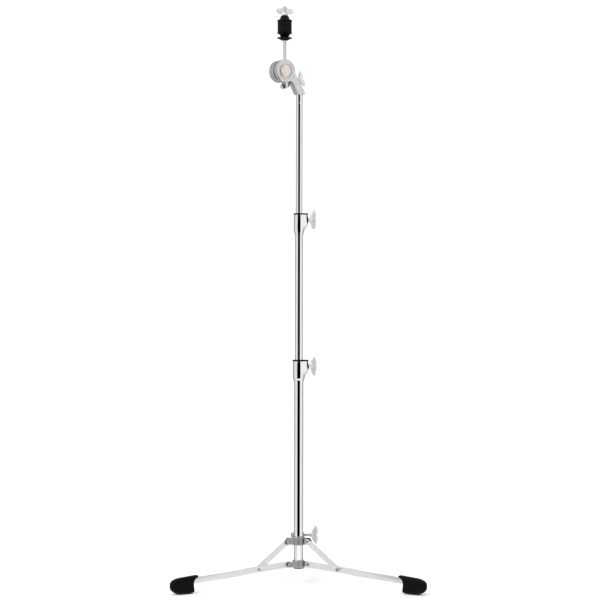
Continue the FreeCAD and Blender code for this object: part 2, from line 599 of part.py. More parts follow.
def make_tilter_head():
    """The disc that carries the rod, with the drum that turns in the arm."""
    front, back = "-(head_front)", "-(head_back)"
    ring_back = "-(arm_back) - face_gap"
    disc = turned([("0", f"{front} - cap_deep"), ("cap_r + slip_gap", f"{front} - cap_deep"),
                   ("cap_r + slip_gap", f"{front} - 1.4"), ("cap_r + 2", f"{front} - 1.4"),
                   ("cap_r + 2", front), ("head_r - 1.2", front), ("head_r", f"{front} - 1.2"),
                   ("head_r", f"{back} + 0.5"), ("head_r - 0.5", back), ("drum_r", back),
                   ("drum_r", ring_back), ("0", ring_back)])
    rod_hole = cylinder("rod_r", "head_r", y="cap_r + 1", z="-(rod_y)", turn=FreeCAD.Rotation(X, -90))
    screw_hole = cylinder("bolt_r", "head_r * 4", z="-head_r * 2")
    keep("tilter_head", in_tilter(cut(disc, rod_hole, screw_hole), FreeCAD.Rotation(X, 90)))
    cap = [("0", f"{front} - cap_deep"), ("cap_r", f"{front} - cap_deep"), ("cap_r", f"{front} - 0.6"),
           ("cap_r - 0.8", f"{front} + 0.3"), ("0", f"{front} + 0.5")]
    keep("tilter_cap", along_pivot(cap))
    ring_front, ring_end = back, "-(arm_front) + face_gap"
    friction = [("drum_r", ring_end), ("ring_r - 0.4", ring_end), ("ring_r - 0.4", ring_front),
                ("drum_r", ring_front)]
    keep("friction_ring", along_pivot(friction))
    rear_back = f"{ring_back} - rear_cap_thick"
    rear = [("bolt_r", rear_back), ("rear_cap_r - 3", rear_back), ("rear_cap_r", f"{rear_back} + 2"),
            ("rear_cap_r", ring_back), ("bolt_r", ring_back)]
    keep("tilter_rear_cap", along_pivot(rear))
    tip = f"{front} - cap_deep"
    screw = [("0", f"{rear_back} - 2.5"), ("bolt_r + 2.5", f"{rear_back} - 2.5"), ("bolt_r + 2.5", rear_back),
             ("bolt_r", rear_back), ("bolt_r", tip), ("0", tip)]
    keep("tilter_screw", along_pivot(screw))


def on_rod(points):
    """A piece turned about the cymbal rod from (radius, height above the pivot) points."""
    turn = "tilter_turn"
    return place(turned(points), x=f"pivot_x - (rod_y) * sin({turn})", y=f"pivot_y + (rod_y) * cos({turn})",
                 z="pivot_z", turn=FreeCAD.Rotation(Z, value(turn)))


def make_cymbal_seat():
    neck = "head_r + 0.5"
    rod = [("0", "cap_r + 1"), ("rod_r", "cap_r + 1"), ("rod_r", neck), ("neck_r", f"{neck} + 0.6"),
           ("neck_r", f"{neck} + neck_long"), ("rod_r", f"{neck} + neck_long + 0.6"),
           ("rod_r", "rod_above - 1"), ("rod_r - 1", "rod_above"), ("0", "rod_above")]
    keep("cymbal_rod", on_rod(rod))
    seat_top = "seat_above + seat_thick"
    seat = [("rod_r", "seat_above"), ("rod_r + 3", "seat_above"), ("seat_r - 4", f"{seat_top} - 3.2"),
            ("seat_r", f"{seat_top} - 2"), ("seat_r", seat_top), ("rod_r", seat_top)]
    keep("seat_flange", on_rod(seat))
    cup = [("rod_r", "cup_z"), ("cup_foot_r", "cup_z"), ("cup_foot_r + 4.2", "cup_z + 4.5"),
           ("cup_foot_r + 5.2", "cup_z + cup_tall - 3.5"), ("seat_r - 0.3", "cup_z + cup_tall - 3.5"),
           ("seat_r - 0.3", "felt_z"), ("rod_r", "felt_z")]
    keep("lower_cup", on_rod(cup))
    sleeve_r = "rod_r + sleeve_wall"
    sleeve = [("rod_r", "felt_z"), (sleeve_r, "felt_z"), (sleeve_r, "top_cup_z"), ("rod_r", "top_cup_z")]
    keep("rod_sleeve", on_rod(sleeve))
    for name, foot in (("lower_felt", "felt_z"), ("upper_felt", "felt_z + felt_thick")):
        felt = [(sleeve_r, foot), ("felt_r - 1", foot), ("felt_r", f"{foot} + 1.5"),
                ("felt_r", f"{foot} + felt_thick - 1.5"), ("felt_r - 1", f"{foot} + felt_thick"),
                (sleeve_r, f"{foot} + felt_thick")]
        keep(name, on_rod(felt))
    top = "top_cup_z + top_cup_tall"
    upper = [("rod_r", "top_cup_z"), ("seat_r", "top_cup_z"), ("seat_r", "top_cup_z + 2.5"),
             ("dome_r + 1", "top_cup_z + 6.5"), ("dome_r", "top_cup_z + 8"), ("dome_r - 2", top),
             ("rod_r", top)]
    keep("upper_cup", on_rod(upper))
    nut = wing_nut("rod_r + slip_gap", "nut_neck", "nut_span", "nut_rise", "nut_sweep", "rod_r + 4.5",
                   "nut_neck + 8")
    turn = "tilter_turn"
    place(nut, x=f"pivot_x - (rod_y) * sin({turn})", y=f"pivot_y + (rod_y) * cos({turn})",
          z="pivot_z + nut_z", turn=FreeCAD.Rotation(Z, 23))
    keep("cymbal_wing_nut", nut)


def check_objects():
    """Stops on any failed feature and on any sub-part with no sound shape."""
    for item in doc.Objects:
        if {"Invalid", "Error"} & set(item.State):
            raise RuntimeError(f"{item.Label} failed: {item.State}")
    for piece in subparts:
        if piece.Shape.isNull() or not piece.Shape.isValid():
            raise RuntimeError(f"{piece.Label} has no sound shape")


make_column()
make_pipe_joint("lower", "low_r", "mid_r", "low_joint_top")
make_pipe_joint("upper", "mid_r", "top_r", "mid_joint_top")
make_hub()
make_collar()
for leg_number, leg_turn in LEG_TURNS.items():
    make_leg(leg_number, leg_turn)
    make_strut(leg_number, leg_turn)
make_tilter_arm()
make_tilter_clamp()
make_tilter_head()
make_cymbal_seat()
doc.recompute()
check_objects()

os.makedirs("parts", exist_ok=True)
for piece in subparts:
    piece.Shape.exportStep(f"parts/{piece.Label}.step")
print(len(subparts), "sub-parts")
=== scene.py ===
import json
import math

import bmesh
import bpy
import numpy as np
from mathutils import Matrix, Vector


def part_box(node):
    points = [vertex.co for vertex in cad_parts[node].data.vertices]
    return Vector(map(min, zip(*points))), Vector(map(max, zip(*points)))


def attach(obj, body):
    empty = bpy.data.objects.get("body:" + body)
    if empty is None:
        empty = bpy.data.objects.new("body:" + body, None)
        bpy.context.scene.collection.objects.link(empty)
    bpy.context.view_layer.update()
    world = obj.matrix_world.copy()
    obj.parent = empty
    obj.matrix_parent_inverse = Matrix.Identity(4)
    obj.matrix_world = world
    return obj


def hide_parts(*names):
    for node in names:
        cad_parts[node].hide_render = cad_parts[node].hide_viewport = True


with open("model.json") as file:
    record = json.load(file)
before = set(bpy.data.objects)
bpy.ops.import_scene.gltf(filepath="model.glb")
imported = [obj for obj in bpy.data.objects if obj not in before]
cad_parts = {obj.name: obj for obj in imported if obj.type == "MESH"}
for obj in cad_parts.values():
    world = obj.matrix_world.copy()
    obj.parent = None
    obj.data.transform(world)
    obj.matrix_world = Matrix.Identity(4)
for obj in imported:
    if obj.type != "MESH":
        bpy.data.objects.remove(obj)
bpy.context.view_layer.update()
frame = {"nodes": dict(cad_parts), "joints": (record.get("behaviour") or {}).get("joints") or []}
JOINTS = {joint["name"]: joint for joint in frame["joints"]}
MM = 0.001
LEG_TURNS = {1: 90, 2: 210, 3: 330}

# In millimetres: radii, heights from the floor and distances out from the column's axis.
LOWER_R, MIDDLE_R, UPPER_R = 11.1, 9.525, 7.95
TUBE_WALL = 1.2
PIVOT_OUT = 26.5
HUB_PIVOT_Z, COLLAR_PIVOT_Z = 49, 104.6
BRACE_OUT, BRACE_Z = 109, 43
RIVET_R = 2.6
SHANK_R = 3


# ---------------------------------------------------------------- places

def joint_spot(name):
    return Vector(JOINTS[name]["pos_m"])


def frame_at(spot, z_axis, x_hint):
    """A matrix whose Z runs along z_axis and whose X is near x_hint, at spot."""
    z = Vector(z_axis).normalized()
    y = z.cross(Vector(x_hint)).normalized()
    x = y.cross(z)
    turn = Matrix((x, y, z)).transposed().to_4x4()
    return Matrix.Translation(spot) @ turn


COLUMN = Matrix.Translation((0, joint_spot("middle_swivel").y, 0))
PIVOT = joint_spot("cymbal_tilt")
PIVOT_BACK = Vector(JOINTS["cymbal_tilt"]["axis"])
FACE = frame_at(PIVOT, -PIVOT_BACK, (0, 0, 1))
ROD = Matrix.Translation((joint_spot("cymbal_nut_turn").x, joint_spot("cymbal_nut_turn").y, PIVOT.z))


def leg_frame(turn):
    return COLUMN @ Matrix.Rotation(math.radians(turn), 4, "Z")


def across_leg(turn, out, height):
    """Z along the leg's sideways axis, at a distance from the column and a height, in millimetres."""
    local = Matrix.Translation((out * MM, 0, height * MM)) @ Matrix.Rotation(math.radians(-90), 4, "X")
    return leg_frame(turn) @ local


# ---------------------------------------------------------------- mesh tools

def mark_edges(mesh, limit=32):
    """Smooth faces, with every edge sharper than the limit kept crisp."""
    work = bmesh.new()
    work.from_mesh(mesh)
    bmesh.ops.recalc_face_normals(work, faces=work.faces)
    for face in work.faces:
        face.smooth = True
    for edge in work.edges:
        edge.smooth = edge.calc_face_angle(0.0) < math.radians(limit)
    work.to_mesh(mesh)
    work.free()


def new_piece(name, verts, faces, material, where=None, limit=32):
    """A mesh object from millimetre points in a local frame."""
    mesh = bpy.data.meshes.new(name)
    mesh.from_pydata([tuple(Vector(v) * MM) for v in verts], [], faces)
    if where is not None:
        mesh.transform(where)
    mark_edges(mesh, limit)
    mesh.materials.append(material)
    piece = bpy.data.objects.new(name, mesh)
    bpy.context.scene.collection.objects.link(piece)
    return piece


def eased(points, radius, steps=4):
    """An open or closed profile with each inner corner turned into a small round."""
    done = [points[0]]
    for before, here, after in zip(points, points[1:], points[2:]):
        corner, back, ahead = Vector(here), Vector(before) - Vector(here), Vector(after) - Vector(here)
        reach = min(radius, back.length * 0.45, ahead.length * 0.45)
        if reach < 1e-4 or back.angle(ahead) > math.radians(176):
            done.append(here)
            continue
        start, end = corner + back.normalized() * reach, corner + ahead.normalized() * reach
        for i in range(steps + 1):
            t = i / steps
            done.append(tuple(start * (1 - t) ** 2 + corner * 2 * t * (1 - t) + end * t * t))
    done.append(points[-1])
    return done


def lathe(profile, round_by=0.3, turns=96, steps=4):
    """Points and faces turned about Z from (radius, height) points.

    A profile that starts off the axis is closed into a ring.
    """
    ring = profile[0][0] > 0
    if ring:
        line = eased(profile + profile[:2], round_by, steps)[1:-1]
    else:
        line = eased(profile, round_by, steps)
    verts, faces, rows = [], [], []
    for radius, height in line:
        if radius < 1e-6:
            rows.append([len(verts)] * turns)
            verts.append((0, 0, height))
            continue
        rows.append(list(range(len(verts), len(verts) + turns)))
        for i in range(turns):
            angle = 2 * math.pi * i / turns
            verts.append((radius * math.cos(angle), radius * math.sin(angle), height))
    pairs = list(zip(rows, rows[1:] + rows[:1])) if ring else list(zip(rows, rows[1:]))
    for low, high in pairs:
        for i in range(turns):
            corners = [low[i], low[(i + 1) % turns], high[(i + 1) % turns], high[i]]
            face = list(dict.fromkeys(corners))
            if len(face) > 2:
                faces.append(face)
    return verts, faces


def loft(loops, closed=False):
    """Points and faces through closed loops of equal length, capped unless the loops close on themselves."""
    count = len(loops[0])
    verts = [point for loop in loops for point in loop]
    faces = []
    rows = range(len(loops) if closed else len(loops) - 1)
    for row in rows:
        low, high = row * count, ((row + 1) % len(loops)) * count
        for i in range(count):
            j = (i + 1) % count
            faces.append([low + i, low + j, high + j, high + i])
    if not closed:
        faces.append(list(range(count))[::-1])
        faces.append(list(range(len(verts) - count, len(verts))))
    return verts, faces


def merged(*shapes):
    """Several (points, faces) shapes as one."""
    verts, faces = [], []
    for shape_verts, shape_faces in shapes:
        base = len(verts)
        verts += list(shape_verts)
        faces += [[base + i for i in face] for face in shape_faces]
    return verts, faces


def moved(shape, where):
    """A (points, faces) shape moved by a matrix in millimetres."""
    return [tuple(where @ Vector(v)) for v in shape[0]], shape[1]


def millimetres(where):
    """The same frame for points in millimetres."""
    scaled = where.copy()
    scaled.translation = where.translation / MM
    return scaled


def baked(piece, limit=32):
    """Applies a piece's modifiers."""
    graph = bpy.context.evaluated_depsgraph_get()
    mesh = bpy.data.meshes.new_from_object(piece.evaluated_get(graph))
    piece.modifiers.clear()
    piece.data = mesh
    mark_edges(mesh, limit)
    return piece


def cast(piece, voxel=0.6, smooth=5):
    """Turns joined shapes into one casting with soft, worn edges."""
    remesh = piece.modifiers.new("skin", "REMESH")
    remesh.mode = "VOXEL"
    remesh.voxel_size = voxel * MM
    soften = piece.modifiers.new("soften", "SMOOTH")
    soften.factor = 0.5
    soften.iterations = smooth
    return baked(piece, 60)


def cut_away(piece, shape):
    """Takes a (points, faces) shape out of a piece."""
    tool = new_piece("tool", shape[0], shape[1], piece.data.materials[0])
    cut = piece.modifiers.new("cut", "BOOLEAN")
    cut.operation = "DIFFERENCE"
    cut.solver = "EXACT"
    cut.object = tool
    baked(piece)
    bpy.data.objects.remove(tool)


def copy_of(node, material):
    """A copy of a CAD node's mesh to work on, with its doubled points joined."""
    mesh = frame["nodes"][node].data.copy()
    mesh.materials.clear()
    mesh.materials.append(material)
    work = bmesh.new()
    work.from_mesh(mesh)
    bmesh.ops.remove_doubles(work, verts=work.verts, dist=1e-6)
    work.to_mesh(mesh)
    work.free()
    piece = bpy.data.objects.new(node + "_made", mesh)
    bpy.context.scene.collection.objects.link(piece)
    return piece


def bevelled(node, material, width=0.4, segments=3):
    """A CAD plate or disc with its sharp edges eased."""
    piece = copy_of(node, material)
    work = bmesh.new()
    work.from_mesh(piece.data)
    bmesh.ops.dissolve_limit(work, angle_limit=math.radians(0.5), verts=work.verts, edges=work.edges)
    work.to_mesh(piece.data)
    work.free()
    ease = piece.modifiers.new("ease", "BEVEL")
    ease.width = width * MM
    ease.segments = segments
    ease.limit_method = "ANGLE"
    ease.angle_limit = math.radians(40)
    return baked(piece, 35)


def own(piece, body, slot, *nodes):
    """The piece rides a body and stands for its CAD nodes. The slot is not used."""
    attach(piece, body)
    if nodes:
        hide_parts(*nodes)
    return piece


# ---------------------------------------------------------------- materials

def node_material(name, color, metallic, roughness):
    material = bpy.data.materials.new(name)
    material.use_nodes = True
    shader = material.node_tree.nodes["Principled BSDF"]
    shader.inputs["Base Color"].default_value = (*color, 1)
    shader.inputs["Metallic"].default_value = metallic
    shader.inputs["Roughness"].default_value = roughness
    return material, shader


def noise(material, scale, detail=4, rough=0.6, stretch=(1, 1, 1)):
    """A noise texture in the piece's own metres."""
    nodes, links = material.node_tree.nodes, material.node_tree.links
    coords = nodes.new("ShaderNodeTexCoord")
    mapping = nodes.new("ShaderNodeMapping")
    mapping.inputs["Scale"].default_value = stretch
    texture = nodes.new("ShaderNodeTexNoise")
    texture.inputs["Scale"].default_value = scale
    texture.inputs["Detail"].default_value = detail
    texture.inputs["Roughness"].default_value = rough
    links.new(coords.outputs["Object"], mapping.inputs["Vector"])
    links.new(mapping.outputs["Vector"], texture.inputs["Vector"])
    return texture.outputs["Fac"]


def spread(material, source, low, high, target, steps=(0.3, 0.7)):
    """Maps a 0 to 1 value onto a range, into a shader socket."""
    nodes, links = material.node_tree.nodes, material.node_tree.links
    ranger = nodes.new("ShaderNodeMapRange")
    ranger.inputs["From Min"].default_value = steps[0]
    ranger.inputs["From Max"].default_value = steps[1]
    ranger.inputs["To Min"].default_value = low
    ranger.inputs["To Max"].default_value = high
    links.new(source, ranger.inputs["Value"])
    links.new(ranger.outputs["Result"], target)


def tint(material, source, dark, light, target):
    """Blends two colours by a value, into a shader's colour."""
    nodes, links = material.node_tree.nodes, material.node_tree.links
    ramp = nodes.new("ShaderNodeValToRGB")
    ramp.color_ramp.elements[0].position = 0.3
    ramp.color_ramp.elements[1].position = 0.7
    ramp.color_ramp.elements[0].color = (*dark, 1)
    ramp.color_ramp.elements[1].color = (*light, 1)
    links.new(source, ramp.inputs["Fac"])
    links.new(ramp.outputs["Color"], target)


def bump(material, shader, source, strength, depth):
    nodes, links = material.node_tree.nodes, material.node_tree.links
    relief = nodes.new("ShaderNodeBump")
    relief.inputs["Strength"].default_value = strength
    relief.inputs["Distance"].default_value = depth * MM
    links.new(source, relief.inputs["Height"])
    links.new(relief.outputs["Normal"], shader.inputs["Normal"])


def metal(name, dark, light, rough, grain=900, depth=0.02, stretch=(1, 1, 1), strength=0.2, metallic=1.0):
    """A plated or cast metal: mottled colour, uneven roughness and a fine grain."""
    material, shader = node_material(name, light, metallic, rough[1])
    broad = noise(material, 60, 5)
    fine = noise(material, grain, 3, 0.5, stretch)
    tint(material, broad, dark, light, shader.inputs["Base Color"])
    spread(material, noise(material, 180, 6, 0.7), rough[0], rough[1], shader.inputs["Roughness"])
    bump(material, shader, fine, strength, depth)
    return material


def soft_black(name, dark, light, rough, grain, depth, strength, sheen=0.0):
    """A moulded or fibrous black, a little mottled."""
    material, shader = node_material(name, light, 0.0, rough[1])
    tint(material, noise(material, 90, 5), dark, light, shader.inputs["Base Color"])
    spread(material, noise(material, 260, 5), rough[0], rough[1], shader.inputs["Roughness"])
    bump(material, shader, noise(material, grain, 6, 0.7), strength, depth)
    shader.inputs["Specular IOR Level"].default_value = 0.1
    shader.inputs["Sheen Weight"].default_value = sheen
    shader.inputs["Sheen Roughness"].default_value = 0.5
    return material


CHROME = metal("chrome_tube", (0.86, 0.86, 0.87), (0.90, 0.90, 0.91), (0.02, 0.04), 700, 0.001,
               (1, 1, 0.02), 0.02)
CAST_CHROME = metal("chrome_casting", (0.84, 0.84, 0.85), (0.90, 0.90, 0.90), (0.03, 0.07), 500, 0.004,
                    strength=0.05)
WING_METAL = metal("wing_casting", (0.66, 0.66, 0.67), (0.78, 0.78, 0.79), (0.38, 0.5), 900, 0.01,
                   strength=0.1, metallic=0.6)
STEEL = metal("zinc_steel", (0.42, 0.42, 0.43), (0.48, 0.48, 0.49), (0.5, 0.6), 1200, 0.006, (1, 1, 0.05),
              metallic=0.35)
RIVET_METAL = metal("rivet_steel", (0.36, 0.36, 0.37), (0.48, 0.48, 0.49), (0.3, 0.42), 1200, 0.01)
LEG_METAL = metal("satin_nickel", (0.84, 0.84, 0.86), (0.92, 0.92, 0.94), (0.32, 0.42), 1500, 0.012)
HUB_METAL = metal("dark_cast_zinc", (0.40, 0.40, 0.405), (0.52, 0.52, 0.525), (0.38, 0.52), 1400, 0.04,
                  strength=0.4)
TILTER_METAL = metal("satin_casting", (0.68, 0.69, 0.70), (0.78, 0.79, 0.80), (0.3, 0.42), 1300, 0.03,
                     strength=0.35)
TICK_METAL = metal("tick_plate", (0.5, 0.5, 0.5), (0.6, 0.6, 0.6), (0.2, 0.32), 1000, 0.01)
CAP_METAL = metal("warm_cap", (0.80, 0.70, 0.64), (0.92, 0.86, 0.81), (0.3, 0.45), 1500, 0.02)
NYLON = soft_black("black_nylon", (0.003, 0.003, 0.003), (0.008, 0.008, 0.008), (0.4, 0.55), 1500, 0.02, 0.3)
CUP_BLACK = soft_black("black_cup", (0.001, 0.001, 0.001), (0.003, 0.003, 0.003), (0.3, 0.42), 1200,
                       0.01, 0.2)
RUBBER = soft_black("black_rubber", (0.001, 0.001, 0.001), (0.002, 0.002, 0.003), (0.4, 0.55), 1800,
                    0.05, 0.5)
FELT = soft_black("black_felt", (0.001, 0.001, 0.001), (0.004, 0.004, 0.005), (0.85, 1.0), 2600,
                  0.5, 0.9, 0.06)


# ---------------------------------------------------------------- column

def size_of(node):
    low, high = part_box(node)
    return (high - low) / MM, low / MM, high / MM


def ring_profile(inner, outer, low, high):
    return [(inner, low), (outer, low), (outer, high), (inner, high)]


def make_tube(node, body):
    span, low, high = size_of(node)
    outer = span.x / 2
    shape = lathe(ring_profile(outer - TUBE_WALL, outer, low.z, high.z), 0.25, 128)
    own(new_piece(node + "_shell", *shape, CHROME, COLUMN), body, "tube_chrome", node)


def teardrop_loop(z, big, out, small, bore=None, grow=0.0, count=128):
    """A loop round two circles, one on the column and one at the boss, or round the bore."""
    loop = []
    for i in range(count):
        angle = 2 * math.pi * i / count
        radius = bore
        if bore is None:
            radius = 0
            for share in np.linspace(0, 1, 41):
                centre, circle = out * share, big + (small - big) * share
                inside = circle ** 2 - (centre * math.sin(angle)) ** 2
                if inside >= 0:
                    radius = max(radius, centre * math.cos(angle) + math.sqrt(inside))
            radius += grow
        loop.append((radius * math.cos(angle), radius * math.sin(angle), z))
    return loop


def make_pipe_joint(name, body, lower_r, upper_r):
    """The chrome clamp casting: a teardrop with its boss that fades into a tapered skirt."""
    joint = name + "_joint"
    _, low, high = size_of(joint)
    big, top, foot = -low.x, high.z, low.z
    small, out = 7.0, high.x - 6.0
    loops = []
    for drop, grow in ((0, -1.0), (0.25, -0.35), (0.9, 0)):
        loops.append(teardrop_loop(top - drop, big, out, small, grow=grow))
    boss_tall, fade, fade_rows, skirt_rows = 22, 17, 12, 8
    for i in range(fade_rows + 1):
        t = i / fade_rows
        ease = t * t * (3 - 2 * t)
        reach = out * (1 - ease) + (big - small) * ease
        loops.append(teardrop_loop(top - boss_tall - fade * t, big, reach, small))
    skirt_from = top - boss_tall - fade
    for i in range(1, skirt_rows + 1):
        t = i / skirt_rows
        ease = t * t * (3 - 2 * t)
        radius = big + (lower_r + 0.7 - big) * ease
        loops.append(teardrop_loop(skirt_from + (foot - skirt_from) * t, radius, 0, radius))
    seat, sleeve_r = foot + 17, upper_r + 1.6
    for z, bore in ((foot, lower_r), (seat, lower_r), (seat + 0.1, sleeve_r), (top, sleeve_r)):
        loops.append(teardrop_loop(z, 0, 0, 0, bore=bore))
    piece = new_piece(joint + "_casting", *loft(loops, True), CAST_CHROME, COLUMN)
    own(piece, body, "joint_chrome", joint)

    flange = size_of(joint + "_flange")
    z0, z1 = flange[1].z, flange[2].z
    lip = 0.8
    rings = [(z0, -0.3), (z0 + 0.3, 0), (z1 - 0.7, 0), (z1 - 0.2, -0.2), (z1, -0.7)]
    loops = [teardrop_loop(z, big + lip, out, small + lip, grow=grow) for z, grow in rings]
    bore = upper_r + 0.1
    loops += [teardrop_loop(z1, 0, 0, 0, bore=bore), teardrop_loop(z0, 0, 0, 0, bore=bore)]
    collar = new_piece(joint + "_collar", *loft(loops, True), NYLON, COLUMN)
    own(collar, body, "black_nylon", joint + "_flange")
    make_boss_plate(name, body, high.x, top)


def make_boss_plate(name, body, face, top):
    """The black plate between the boss and its wing bolt, thin under the flange and thicker downwards."""
    washer = name + "_joint_washer"
    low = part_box(washer)[0].z / MM
    loops = []
    rows = ((top - 0.4, 0.5, 6.0), (top - 4, 0.9, 6.6), (top - 11, 2.0, 6.4), (low + 1, 2.0, 4.6),
            (low - 1.5, 1.7, 2.6))
    for z, thick, half in rows:
        loops.append([(face - 0.2, -half, z), (face + thick, -half * 0.9, z), (face + thick, half * 0.9, z),
                      (face - 0.2, half, z)])
    own(new_piece(washer + "_plate", *loft(loops), NYLON, COLUMN), body, "black_nylon", washer)


# ---------------------------------------------------------------- wing nuts and bolts

def wing_blade(span, base, rise, sweep, thick=4.4):
    """Both wings as one fan: an inner edge that sweeps out to the tips, and a full outer edge."""
    loops = []
    count, around = 48, 32
    half = span / 2
    for i in range(count + 1):
        x = -half * math.cos(math.pi * i / count)
        share = abs(x) / half
        low = base + rise * sweep * share ** 1.25
        high = base + rise * (1 - 0.14 * share ** 2)
        tip = max(1 - share ** 8, 0.0) ** 0.5 + 0.03
        middle, half_z = (low + high) / 2, (high - low) / 2 * tip
        half_y = thick / 2 * (1.2 - 0.45 * share) * tip
        loop = []
        for k in range(around):
            angle = 2 * math.pi * k / around
            y = math.copysign(abs(math.cos(angle)) ** 0.8, math.cos(angle)) * half_y
            z = math.copysign(abs(math.sin(angle)) ** 0.7, math.sin(angle)) * half_z
            loop.append((x, y, middle + z))
        loops.append(loop)
    return loft(loops)


def make_wing(node, body, where, wings, knob_r, span, rise, sweep, bore=None, shank=None):
    """A cast wing nut, or a wing bolt with its shank, along its own Z from its seat at 0."""
    tall = 9
    knob = lathe([(0, 0), (knob_r * 0.8, 0), (knob_r, 2.7), (knob_r * 0.92, 7.2), (knob_r * 0.6, tall),
                  (0, tall)], 1.2)
    shape = merged(knob, wing_blade(span, wings, rise, sweep))
    piece = new_piece(node + "_casting", *shape, WING_METAL, where)
    cast(piece, 0.55, 4)
    if bore:
        hole = lathe([(0, -5), (bore, -5), (bore, rise + 12), (0, rise + 12)], 0.0, 48)
        cut_away(piece, moved(hole, millimetres(where)))
    own(piece, body, "wing_chrome", node)
    if shank:
        rod = lathe([(0, shank), (2.4, shank), (SHANK_R, shank + 0.6), (SHANK_R, 1), (0, 1)], 0.1, 48)
        own(new_piece(node + "_shank", *rod, STEEL, where), body, "rod_steel")


def make_wings():
    side = Vector((1, 0, 0))
    lift, knob_r, sweep, nut_bore = 2.4, 5.6, 0.47, 3.05
    for name, body in (("lower", "lower_bolt"), ("upper", "upper_bolt")):
        spot = joint_spot(name + "_bolt_turn")
        _, low, high = size_of(name + "_wing_bolt")
        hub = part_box(name + "_joint_washer")[1].x / MM + 0.1
        where = frame_at((hub * MM, spot.y, spot.z), side, (0, 0, 1))
        make_wing(name + "_wing_bolt", body, where, lift, knob_r, high.z - low.z, high.x - hub - lift, sweep,
                  shank=low.x - hub)
    spot = joint_spot("collar_nut_turn")
    _, low, high = size_of("collar_wing_nut")
    where = frame_at((low.x * MM, spot.y, spot.z), side, (0, 0, 1))
    make_wing("collar_wing_nut", "collar_nut", where, lift, knob_r, high.z - low.z, high.x - low.x - lift,
              sweep, bore=nut_bore)
    axis = Vector(JOINTS["tilter_nut_turn"]["axis"])
    nut_seat = 39.5
    where = frame_at(joint_spot("tilter_nut_turn") + axis * nut_seat * MM, axis, (0, 0, 1))
    make_wing("tilter_wing_nut", "tilter_nut", where, lift, 5.8, 39.8, 16.4, 0.6, bore=nut_bore)
    _, low, high = size_of("cymbal_wing_nut")
    resting_turn = Matrix.Rotation(math.radians(23), 4, "Z")
    where = Matrix.Translation((ROD.translation.x, ROD.translation.y, low.z * MM)) @ resting_turn
    make_wing("cymbal_wing_nut", "cymbal_nut", where, 3.6, 8.2, 44.8, high.z - low.z - 3.7, 0.14, bore=4.05)


# ---------------------------------------------------------------- base

def rivet_head(face, rise, radius=4.6):
    """A tubular rivet's rolled head: a domed ring with a hollow middle."""
    up = 1 if rise > 0 else -1
    outline = [(0, face - 0.5 * up), (1.6, face - 0.5 * up), (1.8, face + rise * 0.9), (2.5, face + rise),
               (radius - 0.8, face + rise * 0.75), (radius, face + 0.15 * up), (radius, face),
               (0, face - 0.6 * up)]
    return lathe(outline, 0.35, 48)


def rivet_shank(low, high, radius=RIVET_R):
    return lathe([(0, low), (radius, low), (radius, high), (0, high)], 0, 32)


def make_rivets():
    """Heads at both ends of each pivot, and the shanks between them."""
    spots = {
        "hub_rivets": ("base", HUB_PIVOT_Z, -1.85, 7.25),
        "collar_rivets": ("leg_collar", COLLAR_PIVOT_Z, -5.35, 3.75),
    }
    for node, (body, height, near, far) in spots.items():
        shapes = []
        for turn in LEG_TURNS.values():
            where = millimetres(across_leg(turn, PIVOT_OUT, height))
            shank = rivet_shank(near, far, 2.55)
            for part in (shank, rivet_head(near, -1.6), rivet_head(far, 1.6)):
                shapes.append(moved(part, where))
        own(new_piece(node + "_set", *merged(*shapes), RIVET_METAL), body, "rivet_steel", node)
    for number, turn in LEG_TURNS.items():
        where = across_leg(turn, BRACE_OUT, BRACE_Z)
        leg, strut = f"leg_{number}", f"strut_{number}"
        leg_half = merged(rivet_shank(-1.7, 1.8), rivet_head(1.75, 1.2, 3.4))
        own(new_piece(leg + "_rivet_tail", *leg_half, RIVET_METAL, where), leg, "rivet_steel", leg + "_rivet")
        strut_half = merged(rivet_shank(-5.2, -1.85), rivet_head(-5.25, -1.6))
        own(new_piece(strut + "_rivet_head", *strut_half, RIVET_METAL, where), strut, "rivet_steel",
            strut + "_rivet")


def make_spacers():
    """The black discs between the ears and the bars."""
    discs = (
        ("hub_spacers", "base", HUB_PIVOT_Z, 7.2, 1.85, 3.25),
        ("collar_spacers", "leg_collar", COLLAR_PIVOT_Z, 8.7, -2.15, -0.25),
    )
    for node, body, height, rim, low, high in discs:
        shapes = []
        for turn in LEG_TURNS.values():
            disc = lathe(ring_profile(RIVET_R, rim, low, high), 0.3, 64)
            shapes.append(moved(disc, millimetres(across_leg(turn, PIVOT_OUT, height))))
        own(new_piece(node + "_set", *merged(*shapes), NYLON), body, "black_nylon", node)


def make_castings():
    own(cast(copy_of("leg_hub", HUB_METAL), 0.55, 3), "base", "cast_hub", "leg_hub")
    own(cast(copy_of("collar", HUB_METAL), 0.5, 2), "leg_collar", "cast_hub", "collar")
    own(cast(copy_of("tilter_arm", TILTER_METAL), 0.6, 4), "upper_column", "cast_tilter", "tilter_arm")


